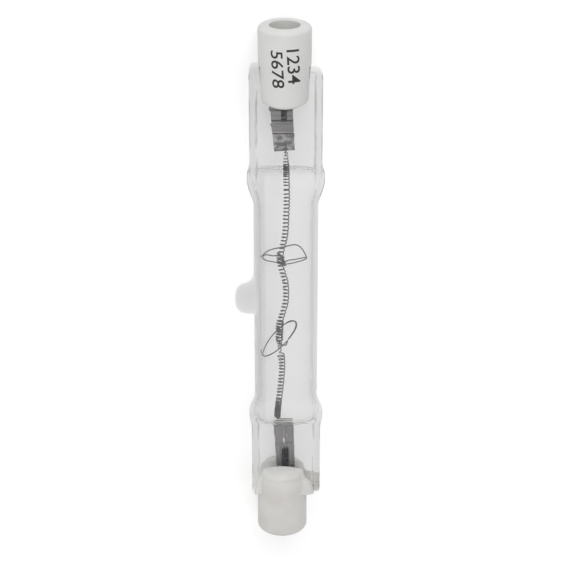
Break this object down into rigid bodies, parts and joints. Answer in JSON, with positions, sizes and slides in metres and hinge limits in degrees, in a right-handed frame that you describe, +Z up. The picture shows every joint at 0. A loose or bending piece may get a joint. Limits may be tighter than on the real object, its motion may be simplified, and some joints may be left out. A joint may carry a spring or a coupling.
{
  "type": "linear halogen bulb",
  "caption": "Double-ended tubular quartz lamp with a coiled filament on wire supports, flat pinch seals with metal foils, and round ceramic end caps with sunk contacts.",
  "frame": {"origin": "on the ground, under the middle of the lamp's box, with the lamp lying on its side", "axes": "+X along the lamp, towards the end that is lower in the picture; +Z up; the exhaust tip points to -Y and down"},
  "size_m": [0.078, 0.0122, 0.009],
  "materials": {
    "quartz": "clear fused quartz, smooth",
    "ceramic": "pressed white ceramic, matte",
    "contact_metal": "plain metal button",
    "cement": "white cement, rough",
    "foil_metal": "thin rolled metal foil, satin",
    "lead_metal": "drawn wire, darkened by welding",
    "coil_metal": "drawn wire coil, grey",
    "support_metal": "thin drawn wire, grey"
  },
  "bodies": {
    "root": {"quartz_envelope": "quartz", "left_ceramic_cap": "ceramic", "right_ceramic_cap": "ceramic", "left_contact": "contact_metal", "right_contact": "contact_metal", "left_cement": "cement", "right_cement": "cement", "left_foil": "foil_metal", "right_foil": "foil_metal", "left_outer_lead": "lead_metal", "right_outer_lead": "lead_metal", "left_inner_lead": "lead_metal", "right_inner_lead": "lead_metal", "filament": "coil_metal", "left_filament_support": "support_metal", "right_filament_support": "support_metal"}
  },
  "joints": []
}
